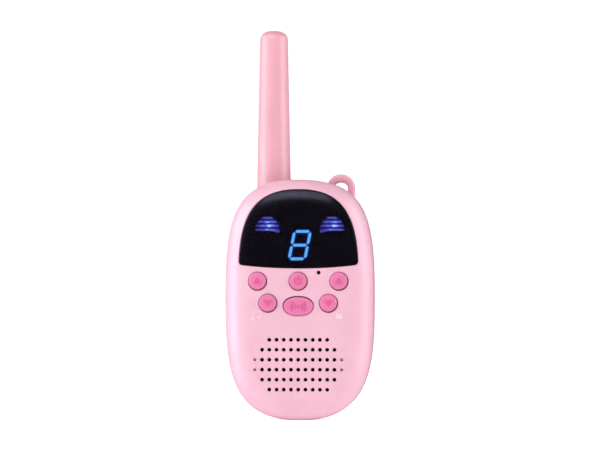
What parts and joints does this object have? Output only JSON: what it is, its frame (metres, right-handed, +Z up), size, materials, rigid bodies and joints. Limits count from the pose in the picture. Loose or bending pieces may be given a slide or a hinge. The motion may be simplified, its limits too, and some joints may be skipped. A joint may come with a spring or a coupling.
{
  "type": "toy walkie talkie",
  "caption": "Handheld two-way radio toy: soap-bar body, stub antenna, dark display window, press keys, speaker grille, strap loop, belt clip and sliding battery door.",
  "frame": {"origin": "middle of the small flat foot under the body", "axes": "+Z up along the body to the antenna tip, -Y out of the front face with the keys, +X to the right seen from the front"},
  "size_m": [0.0592, 0.036, 0.1558],
  "materials": {
    "shell": "satin, light pink",
    "back": "satin, salmon pink",
    "key": "satin, hot pink",
    "lens": "smoked, glossy",
    "black": "matt",
    "digit": "lit sky blue",
    "eye": "lit violet blue",
    "lamp": "clear resin",
    "silicone": "matt",
    "board": "solder mask",
    "steel": "plain",
    "magnet": "dark",
    "paper": "matt",
    "cell": "printed wrap without marks",
    "lead": "insulated wire"
  },
  "bodies": {
    "casing": {"front_shell": "shell", "back_shell": "back", "antenna_cover": "back", "display_lens": "lens", "display_mask": "black", "display_module": "black", "display_digit": "digit", "left_eye_guide": "eye", "right_eye_guide": "eye", "left_eye_lamp": "lamp", "right_eye_lamp": "lamp", "keypad_mat": "silicone", "main_board": "board", "control_chip": "black", "radio_module": "steel", "board_screw_1": "steel", "board_screw_2": "steel", "microphone": "steel", "microphone_boot": "black", "speaker_cloth": "paper", "speaker_frame": "steel", "speaker_magnet": "magnet", "antenna_base": "steel", "antenna_coil": "steel", "clip_pin": "steel", "clip_spring": "steel", "speaker_lead": "lead", "battery_lead": "lead", "antenna_lead": "lead", "case_screw_1": "steel", "case_screw_2": "steel", "case_screw_3": "steel", "case_screw_4": "steel", "battery_cell_1": "cell", "contact_plate_1": "steel", "contact_spring_1": "steel", "battery_cell_2": "cell", "contact_plate_2": "steel", "contact_spring_2": "steel", "battery_cell_3": "cell", "contact_plate_3": "steel", "contact_spring_3": "steel"},
    "channel_up_key_body": {"channel_up_key": "key", "channel_up_dome": "silicone"},
    "channel_down_key_body": {"channel_down_key": "key", "channel_down_dome": "silicone"},
    "volume_up_key_body": {"volume_up_key": "key", "volume_up_dome": "silicone"},
    "volume_down_key_body": {"volume_down_key": "key", "volume_down_dome": "silicone"},
    "power_key_body": {"power_key": "key", "power_dome": "silicone"},
    "talk_key_body": {"talk_key": "key", "talk_dome": "silicone"},
    "speaker_cone_body": {"speaker_cone": "paper"},
    "belt_clip_body": {"belt_clip": "back"},
    "battery_door_body": {"battery_door": "back"}
  },
  "joints": [
    {"name": "channel_up_press", "type": "slide", "parent": "casing", "child": "channel_up_key_body", "axis": [0, 1, 0], "range_m": [0, 0.001], "stiffness_N_per_m": 800, "springref_m": -0.0006},
    {"name": "channel_down_press", "type": "slide", "parent": "casing", "child": "channel_down_key_body", "axis": [0, 1, 0], "range_m": [0, 0.001], "stiffness_N_per_m": 800, "springref_m": -0.0006},
    {"name": "volume_up_press", "type": "slide", "parent": "casing", "child": "volume_up_key_body", "axis": [0, 1, 0], "range_m": [0, 0.001], "stiffness_N_per_m": 800, "springref_m": -0.0006},
    {"name": "volume_down_press", "type": "slide", "parent": "casing", "child": "volume_down_key_body", "axis": [0, 1, 0], "range_m": [0, 0.001], "stiffness_N_per_m": 800, "springref_m": -0.0006},
    {"name": "power_press", "type": "slide", "parent": "casing", "child": "power_key_body", "axis": [0, 1, 0], "range_m": [0, 0.001], "stiffness_N_per_m": 800, "springref_m": -0.0006},
    {"name": "talk_press", "type": "slide", "parent": "casing", "child": "talk_key_body", "axis": [0, 1, 0], "range_m": [0, 0.001], "stiffness_N_per_m": 1200, "springref_m": -0.0006},
    {"name": "speaker_cone_travel", "type": "slide", "parent": "casing", "child": "speaker_cone_body", "axis": [0, 1, 0], "range_m": [-0.0003, 0.0003], "stiffness_N_per_m": 1500},
    {"name": "belt_clip_hinge", "type": "hinge", "parent": "casing", "child": "belt_clip_body", "pos_m": [0, 0.017, 0.084], "axis": [1, 0, 0], "range_deg": [0, 25], "stiffness_Nm_per_rad": 0.35, "springref_deg": -8.59},
    {"name": "battery_door_slide", "type": "slide", "parent": "casing", "child": "battery_door_body", "axis": [0, 0, -1], "range_m": [0, 0.06]}
  ]
}
